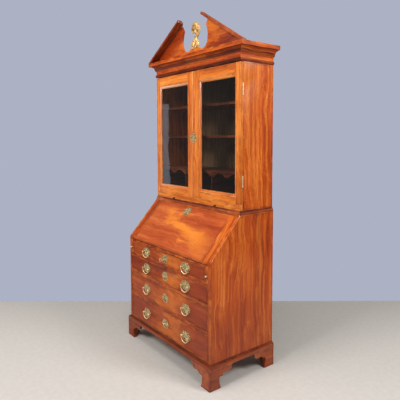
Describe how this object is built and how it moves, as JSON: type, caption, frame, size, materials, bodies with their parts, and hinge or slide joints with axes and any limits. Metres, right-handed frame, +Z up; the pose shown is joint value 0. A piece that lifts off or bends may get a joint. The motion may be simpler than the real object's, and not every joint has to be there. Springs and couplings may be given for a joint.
{
  "type": "secretary desk",
  "caption": "Georgian-style mahogany bureau bookcase: slant-front desk with graduated drawers under a glazed two-door bookcase with a broken pediment and gilt finial.",
  "frame": {"origin": "centre of the bounding box on the floor, under the middle of the desk", "axes": "+Z up from the floor, -Y is the front with the fall, drawers and doors, +X to the right seen from the front"},
  "size_m": [1.064, 0.5787, 2.3354],
  "materials": {
    "mahogany": "french-polished mahogany with visible straight grain",
    "secondary_wood": "unpolished oak and pine of backs, bottom and interior",
    "brass": "pale cast and pierced brass, lightly worn",
    "gilt_wood": "water-gilt carved wood, rubbed",
    "glass": "clear old sheet glass",
    "writing_leather": "dark green hide with a tooled border",
    "red_leather": "red key fob"
  },
  "bodies": {
    "carcase": {"bureau_side_left": "mahogany", "bureau_side_right": "mahogany", "bureau_top": "mahogany", "writing_bed": "mahogany", "bureau_bottom": "secondary_wood", "bureau_back": "secondary_wood", "drawer_dividers": "mahogany", "loper_partitions": "mahogany", "base_moulding": "mahogany", "feet_front": "mahogany", "feet_back": "mahogany", "pigeonhole_case": "secondary_wood", "fixed_hinge_leaves": "brass", "upper_side_left": "mahogany", "upper_side_right": "mahogany", "upper_boards": "mahogany", "upper_back": "secondary_wood", "base_rail": "mahogany", "waist_moulding": "mahogany", "shelves": "mahogany", "bookcase_rack": "mahogany", "cornice": "mahogany", "pediment": "mahogany", "finial": "gilt_wood"},
    "fall": {"fall_panel": "mahogany", "writing_leather": "writing_leather", "fall_plate": "brass", "fall_hinges": "brass"},
    "loper_left": {"loper_left": "mahogany"},
    "loper_right": {"loper_right": "mahogany"},
    "candle_slide_left": {"candle_slide_left": "mahogany"},
    "candle_slide_right": {"candle_slide_right": "mahogany"},
    "door_left": {"door_left": "mahogany", "door_left_glass": "glass", "door_left_brass": "brass"},
    "door_right": {"door_right": "mahogany", "door_right_glass": "glass", "door_right_brass": "brass"},
    "key": {"drawer_key": "brass", "key_fob": "red_leather"},
    "drawer_1": {"drawer_1": "mahogany", "drawer_1_plates": "brass"},
    "drawer_1_bail_left": {"drawer_1_bail_left": "brass"},
    "drawer_1_bail_right": {"drawer_1_bail_right": "brass"},
    "inner_drawer_1": {"inner_drawer_1": "mahogany"},
    "drawer_2": {"drawer_2": "mahogany", "drawer_2_plates": "brass"},
    "drawer_2_bail_left": {"drawer_2_bail_left": "brass"},
    "drawer_2_bail_right": {"drawer_2_bail_right": "brass"},
    "inner_drawer_2": {"inner_drawer_2": "mahogany"},
    "drawer_3": {"drawer_3": "mahogany", "drawer_3_plates": "brass"},
    "drawer_3_bail_left": {"drawer_3_bail_left": "brass"},
    "drawer_3_bail_right": {"drawer_3_bail_right": "brass"},
    "inner_drawer_3": {"inner_drawer_3": "mahogany"},
    "drawer_4": {"drawer_4": "mahogany", "drawer_4_plates": "brass"},
    "drawer_4_bail_left": {"drawer_4_bail_left": "brass"},
    "drawer_4_bail_right": {"drawer_4_bail_right": "brass"},
    "inner_drawer_4": {"inner_drawer_4": "mahogany"}
  },
  "joints": [
    {"name": "fall_hinge", "type": "hinge", "parent": "carcase", "child": "fall", "pos_m": [0, -0.22965, 0.764], "axis": [1, 0, 0], "range_deg": [0, 132.31]},
    {"name": "door_left_hinge", "type": "hinge", "parent": "carcase", "child": "door_left", "pos_m": [-0.476, 0.02365, 1.493], "axis": [0, 0, -1], "range_deg": [0, 110]},
    {"name": "door_right_hinge", "type": "hinge", "parent": "carcase", "child": "door_right", "pos_m": [0.476, 0.02365, 1.493], "axis": [0, 0, 1], "range_deg": [0, 110]},
    {"name": "loper_left_slide", "type": "slide", "parent": "carcase", "child": "loper_left", "axis": [0, -1, 0], "range_m": [0, 0.26]},
    {"name": "candle_slide_left_slide", "type": "slide", "parent": "carcase", "child": "candle_slide_left", "axis": [0, -1, 0], "range_m": [0, 0.18]},
    {"name": "loper_right_slide", "type": "slide", "parent": "carcase", "child": "loper_right", "axis": [0, -1, 0], "range_m": [0, 0.26]},
    {"name": "candle_slide_right_slide", "type": "slide", "parent": "carcase", "child": "candle_slide_right", "axis": [0, -1, 0], "range_m": [0, 0.18]},
    {"name": "drawer_1_slide", "type": "slide", "parent": "carcase", "child": "drawer_1", "axis": [0, -1, 0], "range_m": [0, 0.4]},
    {"name": "drawer_1_bail_left_swing", "type": "hinge", "parent": "drawer_1", "child": "drawer_1_bail_left", "pos_m": [-0.24, -0.25515, 0.694], "axis": [-1, 0, 0], "range_deg": [-12, 80]},
    {"name": "drawer_1_bail_right_swing", "type": "hinge", "parent": "drawer_1", "child": "drawer_1_bail_right", "pos_m": [0.24, -0.25515, 0.694], "axis": [-1, 0, 0], "range_deg": [-12, 80]},
    {"name": "inner_drawer_1_slide", "type": "slide", "parent": "carcase", "child": "inner_drawer_1", "axis": [0, -1, 0], "range_m": [0, 0.17]},
    {"name": "drawer_2_slide", "type": "slide", "parent": "carcase", "child": "drawer_2", "axis": [0, -1, 0], "range_m": [0, 0.4]},
    {"name": "drawer_2_bail_left_swing", "type": "hinge", "parent": "drawer_2", "child": "drawer_2_bail_left", "pos_m": [-0.24, -0.25515, 0.576], "axis": [-1, 0, 0], "range_deg": [-12, 80]},
    {"name": "drawer_2_bail_right_swing", "type": "hinge", "parent": "drawer_2", "child": "drawer_2_bail_right", "pos_m": [0.24, -0.25515, 0.576], "axis": [-1, 0, 0], "range_deg": [-12, 80]},
    {"name": "inner_drawer_2_slide", "type": "slide", "parent": "carcase", "child": "inner_drawer_2", "axis": [0, -1, 0], "range_m": [0, 0.17]},
    {"name": "drawer_3_slide", "type": "slide", "parent": "carcase", "child": "drawer_3", "axis": [0, -1, 0], "range_m": [0, 0.4]},
    {"name": "drawer_3_bail_left_swing", "type": "hinge", "parent": "drawer_3", "child": "drawer_3_bail_left", "pos_m": [-0.24, -0.25515, 0.4255], "axis": [-1, 0, 0], "range_deg": [-12, 80]},
    {"name": "drawer_3_bail_right_swing", "type": "hinge", "parent": "drawer_3", "child": "drawer_3_bail_right", "pos_m": [0.24, -0.25515, 0.4255], "axis": [-1, 0, 0], "range_deg": [-12, 80]},
    {"name": "inner_drawer_3_slide", "type": "slide", "parent": "carcase", "child": "inner_drawer_3", "axis": [0, -1, 0], "range_m": [0, 0.17]},
    {"name": "drawer_4_slide", "type": "slide", "parent": "carcase", "child": "drawer_4", "axis": [0, -1, 0], "range_m": [0, 0.4]},
    {"name": "drawer_4_bail_left_swing", "type": "hinge", "parent": "drawer_4", "child": "drawer_4_bail_left", "pos_m": [-0.24, -0.25515, 0.2465], "axis": [-1, 0, 0], "range_deg": [-12, 80]},
    {"name": "drawer_4_bail_right_swing", "type": "hinge", "parent": "drawer_4", "child": "drawer_4_bail_right", "pos_m": [0.24, -0.25515, 0.2465], "axis": [-1, 0, 0], "range_deg": [-12, 80]},
    {"name": "inner_drawer_4_slide", "type": "slide", "parent": "carcase", "child": "inner_drawer_4", "axis": [0, -1, 0], "range_m": [0, 0.17]},
    {"name": "key_turn", "type": "hinge", "parent": "drawer_1", "child": "key", "pos_m": [0, -0.24065, 0.694], "axis": [0, 1, 0], "range_deg": [0, 90]}
  ]
}
